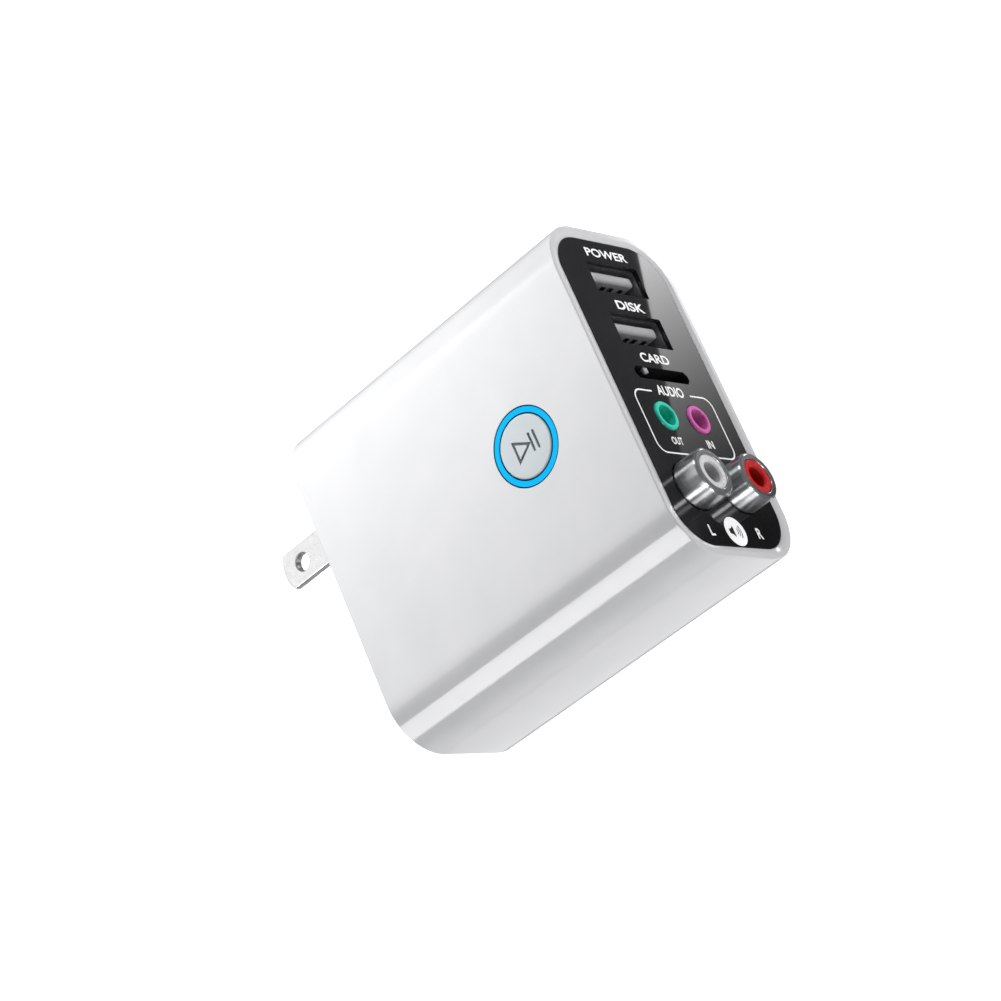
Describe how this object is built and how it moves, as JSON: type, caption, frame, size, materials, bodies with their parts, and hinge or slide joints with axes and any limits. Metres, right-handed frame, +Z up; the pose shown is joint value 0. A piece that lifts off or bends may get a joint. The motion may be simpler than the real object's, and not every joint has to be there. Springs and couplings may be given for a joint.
{
  "type": "wireless audio receiver",
  "caption": "Plug-in wireless audio receiver with folding mains blades, a lit top button and a panel of phono, jack, card and charging sockets",
  "frame": {"origin": "centre of the plain side face that the receiver rests on when it lies with its button upwards", "axes": "+Z up through the button face, -Y out of the socket panel, +Y out of the mains end, +X towards the charging port end of the panel"},
  "size_m": [0.06, 0.0832, 0.0316],
  "materials": {
    "white_plastic": "satin moulded white",
    "panel_black": "polished black lens",
    "frame_black": "fine matt moulding",
    "blade_steel": "satin plated blade",
    "spring_steel": "rolled spring strip",
    "screw_steel": "zinc plated",
    "port_steel": "stamped plated sheet",
    "tongue_grey": "moulded insulator",
    "contact_gold": "flash plated contact",
    "jack_green": "moulded green",
    "jack_pink": "moulded pink",
    "phono_chrome": "bright plated turning",
    "insulator_white": "moulded white",
    "insulator_red": "moulded red",
    "ring_blue": "translucent blue light guide",
    "button_grey": "satin pale grey blue",
    "switch_black": "moulded package",
    "lamp_white": "lamp package",
    "board_green": "solder resist",
    "ferrite": "sintered core",
    "coil_tape": "yellow winding tape",
    "bobbin_cream": "moulded bobbin",
    "can_sleeve": "sleeved can",
    "fuse_glass": "glass tube",
    "disc_blue": "dipped disc",
    "antenna_film": "copper on film"
  },
  "bodies": {
    "root": {"audio_chip": "switch_black", "blade_contact_line": "spring_steel", "blade_contact_neutral": "spring_steel", "board_header": "frame_black", "bracket_screws": "screw_steel", "bridge_rectifier": "switch_black", "bulk_capacitors": "can_sleeve", "card_board": "board_green", "card_socket_base": "frame_black", "card_socket_contacts": "contact_gold", "card_socket_shield": "port_steel", "charge_port_contacts": "contact_gold", "charge_port_insulator": "tongue_grey", "charge_port_shell": "port_steel", "choke": "switch_black", "contactless_antenna": "antenna_film", "crystal": "port_steel", "detent_spring": "spring_steel", "disk_port_contacts": "contact_gold", "disk_port_insulator": "tongue_grey", "disk_port_shell": "port_steel", "frame_screws": "screw_steel", "fuse": "fuse_glass", "in_jack_contact": "contact_gold", "in_jack_housing": "jack_pink", "io_board": "board_green", "io_frame": "frame_black", "io_lens": "panel_black", "left_phono_barrel": "phono_chrome", "left_phono_contact": "contact_gold", "left_phono_insulator": "insulator_white", "light_ring": "ring_blue", "main_board": "board_green", "memory_chip": "switch_black", "out_jack_contact": "contact_gold", "out_jack_housing": "jack_green", "output_capacitors": "can_sleeve", "phono_housing": "frame_black", "plug_bracket": "frame_black", "power_board": "board_green", "power_controller": "switch_black", "power_header": "contact_gold", "radio_board": "board_green", "radio_shield": "port_steel", "rear_cover": "white_plastic", "right_phono_barrel": "phono_chrome", "right_phono_contact": "contact_gold", "right_phono_insulator": "insulator_red", "ring_leds": "lamp_white", "safety_capacitor": "disc_blue", "shell_sleeve": "white_plastic", "switch_body": "switch_black", "transformer_bobbin": "bobbin_cream", "transformer_coil": "coil_tape", "transformer_core": "ferrite"},
    "button": {"button_cap": "button_grey", "switch_plunger": "switch_black"},
    "plug": {"plug_rotor": "frame_black", "blade_line": "blade_steel", "blade_neutral": "blade_steel"}
  },
  "joints": [
    {"name": "button_press", "type": "slide", "parent": "root", "child": "button", "axis": [0, 0, -1], "range_m": [0, 0.0005], "stiffness_N_per_m": 4000, "springref_m": -0.0001},
    {"name": "plug_fold", "type": "hinge", "parent": "root", "child": "plug", "pos_m": [0.0129, 0.0273, 0.01575], "axis": [0, 0, 1], "range_deg": [0, 90]}
  ]
}
